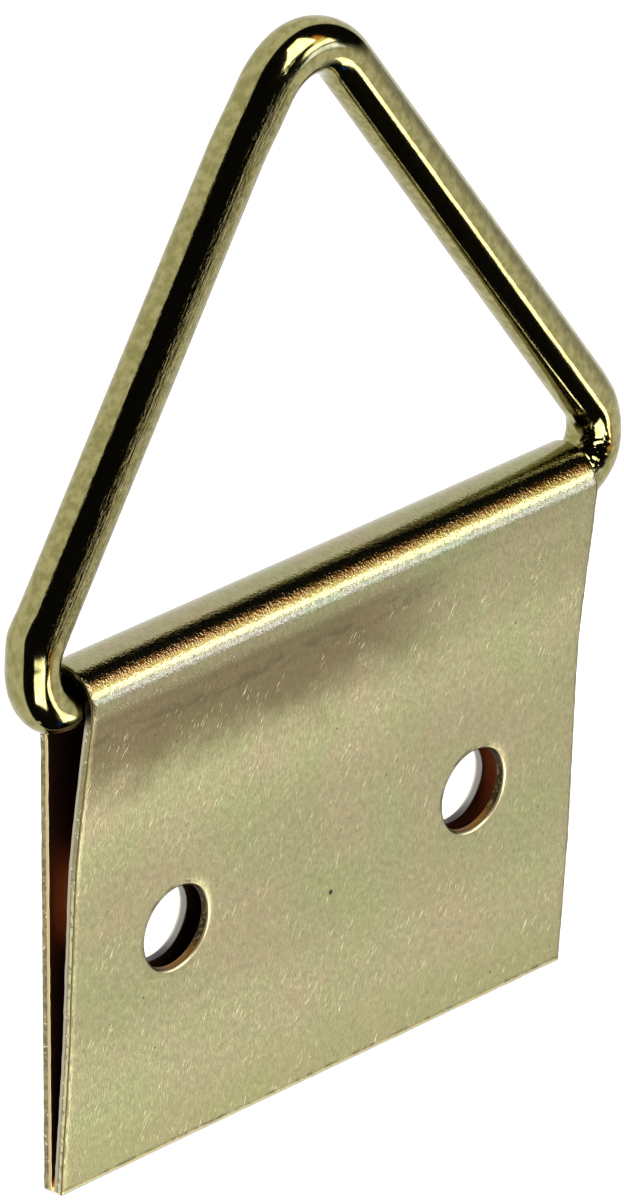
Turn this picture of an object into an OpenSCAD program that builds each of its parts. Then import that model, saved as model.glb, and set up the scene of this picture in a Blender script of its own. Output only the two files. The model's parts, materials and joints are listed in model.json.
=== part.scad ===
// Triangle-ring picture hanger: a strip of sheet metal folded over the bar of a bent wire ring.
// Two screws pass through both leaves of the plate, and the ring swings on its bar in the knuckle.
// Frame: +Z up towards the ring's apex, front towards -Y, back of the rear leaf at y = 0.
// The origin lies midway between the two screw holes. Sizes are in millimetres and degrees.

/* [Plate] */
// Width of the folded plate
plate_w = 31; // [20:0.5:60]
// Thickness of the sheet
sheet_t = 0.45; // [0.3:0.05:0.8]
// Depth of the bottom edge of the leaves below the ring's bar
plate_drop = 23.3; // [20:0.1:40]
// How far the back of the rear leaf lies in front of the knuckle's rearmost line
rear_set_in = 0.38; // [0.1:0.02:0.8]
// Angle by which the knuckle wraps past its rearmost line
rear_wrap = 14; // [8:1:30]
// Largest radius of the bend between the knuckle and the rear leaf
rear_neck_r = 5.5; // [2:0.5:12]

/* [Front leaf] */
// Gap between the leaves at the height of the screw holes
leaf_gap = 0.86; // [0.5:0.02:1.2]
// Gap between the leaves at their bottom edges
foot_gap = 0.06; // [0.02:0.01:0.2]
// Lean of the flat middle of the front leaf towards the rear leaf
middle_lean = 3; // [1:0.5:4]
// Depth of the upper crease below the ring's bar
upper_crease_drop = 7.4; // [5:0.1:10]
// Height of the lower crease above the bottom edge
foot_h = 6.4; // [4:0.1:9]
// Largest radius of the two soft creases
crease_r = 40; // [10:1:60]

/* [Screw holes] */
// Diameter of the screw holes
hole_d = 4; // [3:0.1:5]
// Distance between the two screw holes
hole_spacing = 18.4; // [12:0.1:24]
// Depth of the screw holes below the ring's bar
hole_drop = 12.6; // [9:0.1:16]

/* [Ring] */
// Diameter of the wire
wire_d = 2.5; // [1.5:0.1:3.5]
// Height of the top of the ring above its bar's axis
ring_h = 25.9; // [18:0.1:45]
// Inside radius of the two corner bends
corner_inner_r = 0.85; // [0.5:0.05:3]
// Inside radius of the bend at the apex
apex_inner_r = 1.85; // [0.8:0.05:5]
// Backward tilt of the ring as it stands
ring_tilt = 2.5; // [-20:0.5:20]
// How much the wire's diameter shrinks in its bends
bend_thinning = 0.02; // [0.01:0.01:0.1]
// Gap between the cut ends of the wire, hidden in the middle of the knuckle
wire_end_gap = 0.4; // [0.2:0.1:2]

/* [Fits] */
// Radial clearance of the ring's bar in the knuckle
knuckle_clear = 0.06; // [0.03:0.01:0.1]
// Share of that clearance that a corner bend takes up at the knuckle's end
bend_rise_share = 0.4; // [0.1:0.1:0.7]
// How far the leaves are tucked in under the round of the knuckle
leaf_tuck = 0.03; // [0.01:0.01:0.05]

/* [Hidden] */
$fn = 180;

// Largest turn between two points of a bend in the sheet
BEND_STEP = 1;
// Largest share of a straight run that the bend at its end may take up
BEND_SHARE = 0.5;
// Length by which a drill or a cut passes the metal
CUT_PAST = 1;
// Length of wire by which a bend reaches into the straight run that follows it
BEND_LAP = 0.05;

// Knuckle: radii of its bore and of its outside, and of the circle that the middle of a leaf touches
bore_r = wire_d / 2 + knuckle_clear;
knuckle_r = bore_r + sheet_t;
leaf_circle_r = bore_r + sheet_t / 2 - leaf_tuck;
bar_pos = [0, rear_set_in - knuckle_r, hole_drop];

// Middle of the sheet of each leaf, from the knuckle down, as [y, z] from the axis of the bar
rear_y = knuckle_r - rear_set_in - sheet_t / 2;
rear_start = leaf_circle_r * heading(-rear_wrap);
rear_neck = [rear_y, rear_start.y - (rear_start.x - rear_y) / tan(rear_wrap)];
rear_path = [rear_start, rear_neck, [rear_y, -plate_drop]];
upper_crease = [middle_y(-upper_crease_drop), -upper_crease_drop];
lower_crease = [middle_y(foot_h - plate_drop), foot_h - plate_drop];
front_foot = [rear_y - sheet_t - foot_gap, -plate_drop];
front_start = leaf_circle_r * heading(tangent_angle(upper_crease, leaf_circle_r));
front_path = [front_start, upper_crease, lower_crease, front_foot];

// Ring: centres of its bends in its own plane, as [x, height above the bar], and the leg between them
corner_r = corner_inner_r + wire_d / 2;
apex_r = apex_inner_r + wire_d / 2;
bend_rise = bend_rise_share * knuckle_clear;
corner_x = plate_w / 2 - sqrt(bend_rise * (2 * corner_r - bend_rise));
corner_centre = [corner_x, corner_r];
apex_centre = [0, ring_h - wire_d / 2 - apex_r];
corner_to_apex = apex_centre - corner_centre;
leg_normal = direction(corner_to_apex) - acos((corner_r - apex_r) / norm(corner_to_apex));

// Unit vector at an angle, and the angle of a vector
function heading(angle) = [cos(angle), sin(angle)];
function direction(v) = atan2(v.y, v.x);
// Depth of the flat middle of the front leaf at a given height
function middle_y(z) = rear_y - sheet_t - leaf_gap - tan(middle_lean) * (z + hole_drop);
// Angle at which a line from a point below the bar touches the front of a circle round it
function tangent_angle(p, r) = 360 + direction(p) - acos(r / norm(p));
// Run of a path that ends at a point, and the path's turn from that run into the next one
function run(path, i) = path[i] - path[i - 1];
function turn(path, i) = atan2(cross(run(path, i), run(path, i + 1)), run(path, i) * run(path, i + 1));
// Length that the bend at a point takes from the runs on both sides of it
function bend_cut(path, i, r) =
    min(r * tan(abs(turn(path, i)) / 2), BEND_SHARE * min(norm(run(path, i)), norm(run(path, i + 1))));
// End of a path, moved sideways by a distance to the left of the run
function moved_end(point, along, side) = point + side * heading(direction(along) + 90);
// Bend at a point of a path, as points at a distance to the left of the path
function moved_bend(path, i, r, side) =
    let (
        into = direction(run(path, i)),
        sweep = turn(path, i),
        inwards = sign(sweep) * 90,
        bend_r = bend_cut(path, i, r) / tan(abs(sweep) / 2),
        centre = path[i] - bend_cut(path, i, r) * heading(into) + bend_r * heading(into + inwards),
        moved_r = bend_r - sign(sweep) * side,
        steps = ceil(abs(sweep) / BEND_STEP)
    )
    [for (k = [0:steps]) centre + moved_r * heading(into - inwards + sweep * k / steps)];
// Whole path, with a bend at each inner point, moved sideways by a distance to its left
function moved_path(path, r, side) =
    let (last = len(path) - 1)
    concat(
        [moved_end(path[0], run(path, 1), side)],
        [for (i = [1:last - 1]) each moved_bend(path, i, r, side)],
        [moved_end(path[last], run(path, last), side)]
    );
// List in reverse order
function reversed(list) = [for (i = [len(list) - 1:-1:0]) list[i]];
// Outline round both leaves, along one face of each: side is the distance from the middle of the sheet
function leaves_outline(side, past) =
    let (
        front = moved_path(front_path, crease_r, -side),
        rear = moved_path(rear_path, rear_neck_r, side),
        below = [0, past]
    )
    concat(front, [front[len(front) - 1] - below, rear[len(rear) - 1] - below], reversed(rear));

// Folded sheet seen from its edge: rear leaf, soft neck, knuckle and creased front leaf
module plate_section() {
    difference() {
        union() {
            circle(r = knuckle_r);
            polygon(leaves_outline(sheet_t / 2, 0));
        }
        circle(r = bore_r);
        polygon(leaves_outline(-sheet_t / 2, CUT_PAST));
    }
}

// Straight stretch of wire between two points of the ring's plane
module wire_run(from, to) {
    translate([from.x, 0, from.y])
        rotate([0, 90 - direction(to - from), 0])
            cylinder(d = wire_d, h = norm(to - from));
}

// Bent stretch of wire in the ring's plane, a little thinner than the runs that it reaches into
module wire_bend(centre, r, from, sweep) {
    lap = BEND_LAP / r * 180 / PI;
    translate([centre.x, 0, centre.y])
        rotate([90, 0, 0])
            rotate([0, 0, from - lap])
                rotate_extrude(angle = sweep + 2 * lap)
                    translate([r, 0])
                        circle(d = wire_d - bend_thinning);
}

// One half of the ring: half of the bar, a corner and a leg
module ring_half() {
    wire_run([wire_end_gap / 2, 0], [corner_x, 0]);
    wire_bend(corner_centre, corner_r, -90, leg_normal + 90);
    wire_run(corner_centre + corner_r * heading(leg_normal), apex_centre + apex_r * heading(leg_normal));
}

// Plate folded over the bar of the ring, with two holes through both leaves
module hanger_plate() {
    color("darkkhaki")
        translate(bar_pos)
            difference() {
                rotate([90, 0, 90])
                    linear_extrude(height = plate_w, center = true)
                        plate_section();
                for (side = [-1, 1]) {
                    translate([side * hole_spacing / 2, knuckle_r + CUT_PAST, -hole_drop])
                        rotate([90, 0, 0])
                            cylinder(d = hole_d, h = 2 * (knuckle_r + CUT_PAST));
                }
            }
}

// Wire bent to a triangle, with its cut ends facing each other inside the knuckle
module triangle_ring() {
    color("goldenrod")
        translate(bar_pos)
            rotate([-ring_tilt, 0, 0]) {
                ring_half();
                mirror([1, 0, 0])
                    ring_half();
                wire_bend(apex_centre, apex_r, leg_normal, 180 - 2 * leg_normal);
            }
}

hanger_plate();
triangle_ring();
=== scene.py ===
"""Looks of a triangle-ring picture hanger: a folded plate and a bent wire ring in brass-plated steel.

Meshes are shaped in millimetres from the axis of the ring's bar, and turn into the frame's metres at the end.
"""

import json
import logging
import math
from dataclasses import dataclass
from enum import Enum
from itertools import accumulate
from typing import Any

import bmesh
import bpy
from mathutils import Matrix, Vector, noise


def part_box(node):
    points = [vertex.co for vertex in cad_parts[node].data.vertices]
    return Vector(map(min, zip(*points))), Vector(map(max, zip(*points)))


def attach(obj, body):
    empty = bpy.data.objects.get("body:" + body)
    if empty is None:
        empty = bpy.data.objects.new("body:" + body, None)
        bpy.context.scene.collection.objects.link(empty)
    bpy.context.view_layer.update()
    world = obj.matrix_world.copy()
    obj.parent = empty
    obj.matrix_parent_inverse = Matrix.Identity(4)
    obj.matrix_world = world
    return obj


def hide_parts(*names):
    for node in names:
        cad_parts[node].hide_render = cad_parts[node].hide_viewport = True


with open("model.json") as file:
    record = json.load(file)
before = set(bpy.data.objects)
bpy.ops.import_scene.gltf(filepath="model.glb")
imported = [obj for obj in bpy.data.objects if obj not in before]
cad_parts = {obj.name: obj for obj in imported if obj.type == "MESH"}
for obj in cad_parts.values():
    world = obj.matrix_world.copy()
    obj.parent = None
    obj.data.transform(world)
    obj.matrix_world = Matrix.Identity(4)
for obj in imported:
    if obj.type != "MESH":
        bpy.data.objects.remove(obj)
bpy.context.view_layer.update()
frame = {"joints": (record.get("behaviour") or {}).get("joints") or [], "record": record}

log = logging.getLogger("hanger")

MM = 0.001
RIGHT = Vector((1, 0, 0))
UP = Vector((0, 0, 1))
FRONT = Vector((0, -1, 0))

Tree = bpy.types.NodeTree
Socket = bpy.types.NodeSocket
# Where something starts to show and where it shows in full, or the shares at both
Span = tuple[float, float]

# Inputs of a Mix node for colours and of a Map Range node for vectors
MIX_FACTOR, MIX_A, MIX_B = 0, 6, 7
RANGE_VECTOR, RANGE_FROM_MIN, RANGE_FROM_MAX, RANGE_TO_MIN, RANGE_TO_MAX = 6, 7, 8, 9, 10
# Outputs of a Mix node for colours, of a Map Range node for vectors, and of Vector Math and Attribute nodes
MIX_RESULT, RANGE_RESULT, MATH_NUMBER, ATTRIBUTE_VECTOR = 2, 1, 1, 1

SMOOTH = {"interpolation_type": "SMOOTHSTEP"}
COLOURS = {"data_type": "RGBA"}
TINTED = {"data_type": "RGBA", "blend_type": "MULTIPLY"}
PLUS = {"operation": "ADD"}
MINUS = {"operation": "SUBTRACT"}
TIMES = {"operation": "MULTIPLY"}
TIMES_PLUS = {"operation": "MULTIPLY_ADD"}
LARGER = {"operation": "MAXIMUM"}
SIZE_OF = {"operation": "ABSOLUTE"}
DISTANCE = {"operation": "DISTANCE"}

# Place of a point in the stock before it was bent, in millimetres
STOCK = "stock_place"
# Stretch round the middle of the blank where the rear leaf's colours turn into the front leaf's
FOLD_MM: Span = (-0.1, 0.1)


class Side(Enum):
    """Side of the hanger, seen from the front."""

    LEFT = -1
    RIGHT = 1


class Leaf(Enum):
    """Leaf of the folded plate, with the way along the blank that leads down it."""

    REAR = -1
    FRONT = 1


class Skin(Enum):
    """Finish of a face of the plate, as the number of its material."""

    PLATED = 0
    SHEARED = 1
    PUNCHED = 2


class Seed(Enum):
    """Place in the noise that each unevenness of a mesh is taken from."""

    NICKS = 1.0
    WIRE_WAVE = 2.0
    LEAF_WAVE = 3.0
    CRUMPLE = 4.0
    CREASES = 6.0
    RAGGED_EDGE = 7.0


def linear(hex_colour: str) -> tuple[float, float, float, float]:
    """Turn an sRGB hex colour into linear red, green, blue and alpha.

    Args:
        hex_colour: Six hex digits after a hash.

    Returns:
        Linear components with an alpha of 1.
    """
    shares = [int(hex_colour[i : i + 2], 16) / 255 for i in (1, 3, 5)]
    red, green, blue = [c / 12.92 if c <= 0.04045 else ((c + 0.055) / 1.055) ** 2.4 for c in shares]
    return red, green, blue, 1.0


def fill(tree: Tree, node: bpy.types.Node, inputs: dict[Any, Any]) -> None:
    """Fill or link inputs of a node.

    Args:
        tree: Node tree that holds the node.
        node: Node that gets the inputs.
        inputs: Socket names or numbers, each with a value or with the socket that feeds it.
    """
    for name, value in inputs.items():
        if isinstance(value, Socket):
            tree.links.new(value, node.inputs[name])
        else:
            node.inputs[name].default_value = value


def add_node(
    tree: Tree, kind: str, settings: dict[str, Any], inputs: dict[Any, Any], output: int = 0
) -> Socket:
    """Add a node with its settings and inputs.

    Args:
        tree: Node tree that gets the node.
        kind: Blender's name of the node's type, after the word that all shader nodes start with.
        settings: Attributes of the node.
        inputs: Socket names or numbers, each with a value or with the socket that feeds it.
        output: Number of the output that is wanted.

    Returns:
        That output of the new node.
    """
    node = tree.nodes.new("ShaderNode" + kind)
    for name, value in settings.items():
        setattr(node, name, value)
    fill(tree, node, inputs)
    return node.outputs[output]


@dataclass(frozen=True)
class Step:
    """Smooth step of a share while a value passes over a span.

    Attributes:
        value: Value that is measured.
        span: Values where the step starts and where it ends.
        shares: Shares at the start and at the end.
        past: Value that the span is measured from.
        unit: Length that the span is measured in.
    """

    value: Socket
    span: Span
    shares: Span = (0.0, 1.0)
    past: float = 0.0
    unit: float = 1.0

    def draw(self, tree: Tree) -> Socket:
        """Add the step to a node tree and give its share.

        Args:
            tree: Node tree of the finish.

        Returns:
            Share of the step.
        """
        start, stop = [self.past + self.unit * end for end in self.span]
        low, high = self.shares
        return add_node(
            tree, "MapRange", SMOOTH,
            {"Value": self.value, "From Min": start, "From Max": stop, "To Min": low, "To Max": high},
        )


def share_of(tree: Tree, steps: list[Step]) -> Socket:
    """Multiply steps into the share of a mark that shows where all of them are up.

    Args:
        tree: Node tree of the finish.
        steps: Steps of the mark.

    Returns:
        Share of the mark.
    """
    share, *others = [step.draw(tree) for step in steps]
    for other in others:
        share = add_node(tree, "Math", TIMES, {0: share, 1: other})
    return share


def coat(tree: Tree, colour: Any, coats: list[tuple[Any, str]]) -> Socket:
    """Lay coats of other colours over a colour.

    Args:
        tree: Node tree of the finish.
        colour: Colour below, or the socket that gives it.
        coats: Share or steps of each coat and its sRGB hex colour, from the lowest up.

    Returns:
        Colour with its coats.
    """
    for cover, tint in coats:
        share = share_of(tree, cover) if isinstance(cover, list) else cover
        inputs = {MIX_FACTOR: share, MIX_A: colour, MIX_B: linear(tint)}
        colour = add_node(tree, "Mix", COLOURS, inputs, MIX_RESULT)
    return colour


def soft_noise(tree: Tree, place: Socket, size: float, detail: float, roughness: float = 0.5,
               squash: tuple[float, float, float] = (1.0, 1.0, 1.0)) -> Socket:
    """Draw soft noise whose swells have a real size.

    Args:
        tree: Node tree of the finish.
        place: Place in the stock.
        size: Size of a swell in millimetres.
        detail: Layers of finer swells.
        roughness: Strength of each finer layer.
        squash: Factors by which swells are shorter across, through and along the stock.

    Returns:
        Height of the noise, from 0 to 1.
    """
    squashed = add_node(tree, "VectorMath", TIMES, {0: place, 1: squash})
    inputs = {"Vector": squashed, "Scale": 1 / size, "Detail": detail, "Roughness": roughness}
    return add_node(tree, "TexNoise", {}, inputs)


def start_metal(name: str) -> tuple[bpy.types.Material, Tree, bpy.types.Node, Socket]:
    """Start a metal finish.

    Args:
        name: Name of the material.

    Returns:
        The material, its node tree, its shader, and the place in the stock.
    """
    material = bpy.data.materials.new(name)
    material.use_nodes = True
    tree = material.node_tree
    shader = tree.nodes["Principled BSDF"]
    fill(tree, shader, {"Metallic": 1.0})
    place = add_node(tree, "Attribute", {"attribute_name": STOCK}, {}, ATTRIBUTE_VECTOR)
    return material, tree, shader, place


@dataclass(frozen=True)
class Stretch:
    """One stretch of bent stock, in millimetres and degrees: a run where it doesn't turn, or else a bend.

    Attributes:
        rows: Rows of faces along it.
        length: Length of a run.
        radius: Radius of a bend, at the middle of the stock.
        turn: Turn of a bend.
    """

    rows: int
    length: float = 0.0
    radius: float = 0.0
    turn: float = 0.0

    @property
    def travel(self) -> float:
        """Length of stock that it takes up."""
        return self.length or self.radius * math.radians(abs(self.turn))


def sweep(bm: bmesh.types.BMesh, start: list[Any], place: Vector, heading: Vector, axis: Vector,
          stretches: list[Stretch]) -> list[Any]:
    """Draw an end of stock along runs and bends, and note how far each row lies along the straight stock.

    Args:
        bm: Mesh that holds the end.
        start: Vertices and edges of the end.
        place: Middle of the end.
        heading: Direction of the first run.
        axis: Axis that a positive turn goes round.
        stretches: Runs and bends in order.

    Returns:
        Vertices and edges of the other end.
    """
    stock = bm.verts.layers.float_vector[STOCK]
    end, travelled = start, 0.0
    place, heading = place.copy(), heading.copy()
    for stretch in stretches:
        turn = math.radians(stretch.turn)
        inwards = Matrix.Rotation(math.copysign(math.pi / 2, turn), 3, axis) @ heading
        centre = place + inwards * stretch.radius
        step = heading * (0.0 if turn else stretch.length / stretch.rows)
        for _ in range(stretch.rows):
            end = bmesh.ops.spin(
                bm, geom=end, cent=centre, axis=axis, dvec=step, angle=turn / stretch.rows, steps=1
            )["geom_last"]
            travelled += stretch.travel / stretch.rows
            for vert in end:
                if isinstance(vert, bmesh.types.BMVert):
                    vert[stock] = (vert[stock].x, vert[stock].y, travelled)
        spun = Matrix.Rotation(turn, 3, axis)
        place = centre + spun @ (place - centre) + step * stretch.rows
        heading = spun @ heading
    return end


def near(point: Vector, middle: Vector, reach: float) -> float:
    """Give a smooth share that falls from 1 at a middle to 0 at a reach."""
    return max(0.0, 1.0 - (point - middle).length_squared / reach**2) ** 2


def swell(point: Vector, size: float, seed: Seed) -> float:
    """Give smooth noise between about -1 and 1 whose swells have a size."""
    return noise.noise(point / size + Vector((seed.value, seed.value, seed.value)))


def finish_mesh(
    bm: bmesh.types.BMesh, name: str, origin: Vector, materials: list[bpy.types.Material]
) -> bpy.types.Object:
    """Turn a mesh in millimetres into a smooth object in the frame.

    Args:
        bm: Finished mesh, which is freed.
        name: Name of the piece.
        origin: Place in the frame, in metres, that the mesh was shaped from.
        materials: Finishes of the piece, by the numbers that its faces hold.

    Returns:
        The object, at the frame's origin.
    """
    bmesh.ops.transform(bm, matrix=Matrix.Translation(origin) @ Matrix.Scale(MM, 4), verts=bm.verts)
    for face in bm.faces:
        face.smooth = True
    mesh = bpy.data.meshes.new(name)
    bm.to_mesh(mesh)
    bm.free()
    for material in materials:
        mesh.materials.append(material)
    piece = bpy.data.objects.new(name, mesh)
    bpy.context.scene.collection.objects.link(piece)
    return piece


@dataclass(frozen=True)
class Blank:
    """Flat strip before it was folded, in millimetres along it from the foot of the rear leaf.

    Attributes:
        knuckle_from: Start of the stretch that was rolled into the knuckle.
        knuckle_to: End of that stretch, where the front leaf starts.
        length: Length of the strip.
        half_width: Half of the strip's width.
        half_thick: Half of the sheet's thickness.
        hole_r: Radius of the holes.
        hole_spacing: Distance between two holes of a leaf.
        hole_from_knuckle: Distance of the front leaf's holes from the middle of the rolled stretch.
    """

    knuckle_from: float
    knuckle_to: float
    length: float
    half_width: float
    half_thick: float
    hole_r: float
    hole_spacing: float
    hole_from_knuckle: float

    @property
    def knuckle_middle(self) -> float:
        """Middle of the stretch that was rolled."""
        return (self.knuckle_from + self.knuckle_to) / 2

    @property
    def knuckle_half(self) -> float:
        """Half of the stretch that was rolled."""
        return (self.knuckle_to - self.knuckle_from) / 2


@dataclass(frozen=True)
class SheetPlace:
    """Nodes that tell where a point of the sheet lies in its blank, in millimetres.

    Attributes:
        tree: Node tree of the finish.
        blank: Blank that the finish lies on.
        point: Place in the blank.
        across: Distance to the right of the strip's middle.
        side: Distance from the middle of the sheet towards its outer face.
        along: Distance along the strip.
        from_knuckle: Distance from the middle of the rolled stretch.
        front: Step from the rear leaf to the front leaf.
        to_right: Distance to the right of the middle of the nearest hole.
        below: Distance below it.
        to_side: Distance from the nearer side edge.
        to_foot: Distance from the front leaf's foot.
    """

    tree: Tree
    blank: Blank
    point: Socket
    across: Socket
    side: Socket
    along: Socket
    from_knuckle: Socket
    front: Step
    to_right: Socket
    below: Socket
    to_side: Socket
    to_foot: Socket

    @classmethod
    def of(cls, tree: Tree, point: Socket, blank: Blank) -> "SheetPlace":
        """Measure where a point lies.

        Args:
            tree: Node tree of the finish.
            point: Place in the blank.
            blank: Blank that the finish lies on.

        Returns:
            The nodes that tell it.
        """
        across, side, along = add_node(tree, "SeparateXYZ", {}, {"Vector": point}).node.outputs
        off = add_node(tree, "Math", MINUS, {0: along, 1: blank.knuckle_middle})
        from_knuckle = add_node(tree, "Math", SIZE_OF, {0: off})
        aside = add_node(tree, "Math", SIZE_OF, {0: across})
        outwards = add_node(tree, "Math", MINUS, {0: aside, 1: blank.hole_spacing / 2})
        sign = add_node(tree, "Math", {"operation": "SIGN"}, {0: across})
        return cls(
            tree, blank, point, across, side, along, from_knuckle,
            front=Step(off, FOLD_MM),
            to_right=add_node(tree, "Math", TIMES, {0: outwards, 1: sign}),
            below=add_node(tree, "Math", MINUS, {0: from_knuckle, 1: blank.hole_from_knuckle}),
            to_side=add_node(tree, "Math", MINUS, {0: blank.half_width, 1: aside}),
            to_foot=add_node(tree, "Math", MINUS, {0: blank.length, 1: along}),
        )


@dataclass(frozen=True)
class PlatedSheet:
    """Brass-plated cold-rolled steel sheet.

    The rolls leave a satin skin with a fine grain along the strip, and the fold is burnished by its tool. The
    eye sees a khaki that wavers between rosy and greenish and is greener at the foot, short bright scratches
    and a few dark specks. Below the fold a brown band with darker blots is a painted reflection. Painted
    shade draws a broken dark line along the cut edges and round the holes, with a painted highlight below it
    at the foot. Inside the fold the plating is thin and brown, and golden at the feet.
    """

    name: str = "brass_plated_rolled_steel_sheet"
    rosy: str = "#A59A76"
    greenish: str = "#9E9D71"
    # Painted dark reflection below the fold: a brown band, and darker blots in it
    brown_reflection: str = "#5B4B2C"
    dark_reflection: str = "#443C2C"
    scratch: str = "#E6DCB4"
    speck: str = "#2E2A1E"
    # Painted shade in a dark line beside the rounded cut edges and hole rims, and a painted highlight on the
    # foot's edge
    edge_shade: str = "#6A6140"
    foot_highlight: str = "#CFC595"
    foot: str = "#8F8C58"
    inside: str = "#C7A07E"
    inside_foot: str = "#E0BC6A"
    leaf_roughness: float = 0.23
    knuckle_roughness: float = 0.1
    satin_past_knuckle_mm: Span = (-0.4, 0.8)
    patch_mm: float = 5.0
    patch_noise: Span = (0.36, 0.64)
    mottle_mm: float = 0.3
    grain_mm: float = 0.08
    grain_length_mm: float = 0.26
    grain_depth: float = 0.3
    grain_height_mm: float = 0.007
    pit_mm: float = 0.12
    pit_height_mm: float = 0.0155
    # Reach of the painted brown reflection below the fold, and of its darker painted blots
    brown_reflection_mm: float = 3.6
    brown_reflection_wander_mm: float = 2.2
    brown_reflection_start_mm: Span = (-0.5, 0.5)
    brown_reflection_end_mm: Span = (7.8, 4.5)
    brown_reflection_share: float = 0.78
    brown_reflection_left: Span = (-1.0, -0.5)
    brown_reflection_left_share: float = 0.98
    brown_reflection_right: Span = (0.6, 0.0)
    brown_reflection_right_share: float = 0.28
    dark_reflection_mm: float = 0.6
    dark_reflection_squash: float = 0.45
    dark_reflection_noise: Span = (0.42, 0.62)
    dark_reflection_depth_mm: float = 1.1
    dark_reflection_rise: float = 0.025
    dark_reflection_half_mm: Span = (0.6, 0.12)
    dark_reflection_right: Span = (0.5, 0.2)
    dark_reflection_share: float = 0.42
    marks_past_knuckle_mm: Span = (0.3, 2.0)
    scratch_mm: float = 0.065
    scratch_length_mm: float = 0.65
    scratch_turn: float = 24.0
    scratch_noise: Span = (0.66, 0.74)
    scratch_share: float = 0.7
    scratch_group_mm: float = 1.8
    scratch_group_noise: Span = (0.44, 0.6)
    speck_spacing_mm: float = 1.5
    speck_r_mm: Span = (0.075, 0.03)
    speck_share: float = 0.7
    main_speck_x_mm: float = 0.34
    main_speck_depth_mm: float = 14.2
    main_speck_r_mm: Span = (0.165, 0.066)
    # Painted shade along the edges and round the holes, and the painted highlight at the foot
    edge_shade_mm: float = 0.7
    edge_shade_noise: Span = (0.42, 0.62)
    edge_shade_shares: Span = (0.1, 0.85)
    side_line_mm: Span = (0.169, 0.091)
    foot_line_mm: Span = (0.36, 0.24)
    rim_line_mm: Span = (0.25, 0.19)
    rim_line_upper_left: Span = (-0.3, -0.8)
    foot_highlight_mm: Span = (0.165, 0.12)
    foot_highlight_share: float = 0.85
    foot_mm: Span = (4.0, 0.0)
    foot_share: float = 0.4
    inside_foot_mm: Span = (-2.4, -1.2)

    def plating(self, place: SheetPlace) -> tuple[Socket, Socket]:
        """Mix the two tints of the plating, and shade them by the rolls' grain and by a finer mottle.

        Args:
            place: Where a point lies in the blank.

        Returns:
            Colour of the clean plating, and height of its grain from 0 to 1.
        """
        tree = place.tree
        patches = soft_noise(tree, place.point, self.patch_mm, detail=4.0, roughness=0.6)
        # The real grain is finer than a pixel, so it is drawn as wide as it needs to show
        squash = (1.0, 1.0, self.grain_mm / self.grain_length_mm)
        grain = soft_noise(tree, place.point, self.grain_mm, detail=3.0, roughness=0.6, squash=squash)
        mottle = soft_noise(tree, place.point, self.mottle_mm, detail=4.0, roughness=0.7)
        # The two noises waver round 0.5 each, so that their sum wavers round 1
        both = add_node(tree, "Math", PLUS, {0: grain, 1: mottle})
        shade = add_node(
            tree, "MapRange", {},
            {
                "Value": both, "From Min": 0.5, "From Max": 1.5,
                "To Min": 1 - self.grain_depth, "To Max": 1 + self.grain_depth,
            },
        )
        colour = coat(tree, linear(self.rosy), [([Step(patches, self.patch_noise)], self.greenish)])
        shaded = add_node(tree, "Mix", TINTED, {MIX_FACTOR: 1.0, MIX_A: colour, MIX_B: shade}, MIX_RESULT)
        return shaded, grain

    def painted_reflections(self, place: SheetPlace) -> list[tuple[Any, str]]:
        """Paint the brown reflection and the darker blots of reflection below the fold, weaker to the left
        and to the right.

        Args:
            place: Where a point lies in the blank.

        Returns:
            Coats of the painted brown reflection and of its darker painted blots.
        """
        tree, half = place.tree, place.blank.half_width
        depth = add_node(tree, "Math", MINUS, {0: place.along, 1: place.blank.knuckle_to})
        clouds = soft_noise(tree, place.point, self.brown_reflection_mm, detail=6.0, roughness=0.72)
        wandered = add_node(tree, "Math", TIMES_PLUS, {0: clouds, 1: 2 * self.brown_reflection_wander_mm, 2: depth})
        line = add_node(tree, "Math", TIMES_PLUS, {0: place.across, 1: self.dark_reflection_rise, 2: depth})
        off_line = add_node(tree, "Math", MINUS, {0: line, 1: self.dark_reflection_depth_mm})
        away = add_node(tree, "Math", SIZE_OF, {0: off_line})
        squash = (self.dark_reflection_squash, 1.0, 1.0)
        blots = soft_noise(tree, place.point, self.dark_reflection_mm, detail=4.0, roughness=0.6, squash=squash)
        # Painted brown reflection below the fold, weaker to the left and to the right
        brown_reflection = [
            Step(depth, self.brown_reflection_start_mm),
            Step(wandered, self.brown_reflection_end_mm, (0.0, self.brown_reflection_share)),
            Step(place.across, self.brown_reflection_left, (self.brown_reflection_left_share, 1.0), unit=half),
            Step(place.across, self.brown_reflection_right, (self.brown_reflection_right_share, 1.0), unit=half),
        ]
        # Darker painted blots of reflection along a slanting line below the fold
        dark_reflection = [
            Step(away, self.dark_reflection_half_mm),
            Step(blots, self.dark_reflection_noise),
            Step(place.across, self.dark_reflection_right, (0.0, self.dark_reflection_share), unit=half),
        ]
        return [(brown_reflection, self.brown_reflection), (dark_reflection, self.dark_reflection)]

    def marks(self, place: SheetPlace) -> list[tuple[Any, str]]:
        """Draw scratches in loose groups on the front leaf, dark specks, and a larger one in its middle.

        Args:
            place: Where a point lies in the blank.

        Returns:
            Coats of the scratches and of the specks.
        """
        tree, blank = place.tree, place.blank
        on_leaf = Step(place.along, self.marks_past_knuckle_mm, past=blank.knuckle_to)
        turn = math.radians(self.scratch_turn)
        turned = add_node(
            tree, "VectorRotate", {"rotation_type": "Y_AXIS"}, {"Vector": place.point, "Angle": turn}
        )
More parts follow.
